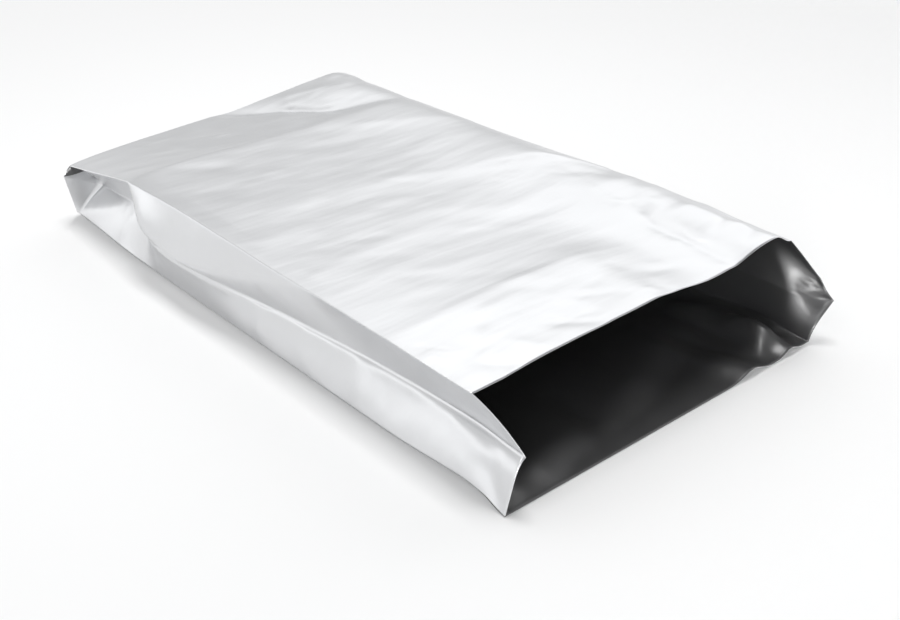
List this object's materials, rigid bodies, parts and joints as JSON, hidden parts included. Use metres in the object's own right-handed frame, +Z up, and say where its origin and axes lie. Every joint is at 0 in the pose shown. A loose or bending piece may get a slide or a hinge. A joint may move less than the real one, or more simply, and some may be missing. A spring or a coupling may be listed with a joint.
{
  "type": "foil bag",
  "caption": "Side-gusset bag of silver metallised film with a dark inside, lying on its bottom panel with its mouth open.",
  "frame": {"origin": "middle of the bag's outline on the floor it lies on", "axes": "+X across the bag to the right as one faces the mouth, +Y from the mouth to the closed end, +Z up"},
  "size_m": [0.3284, 0.5692, 0.0767],
  "materials": {
    "foil": "satin",
    "inside": "gloss"
  },
  "bodies": {
    "root": {"foil_bag": "foil"}
  },
  "joints": []
}
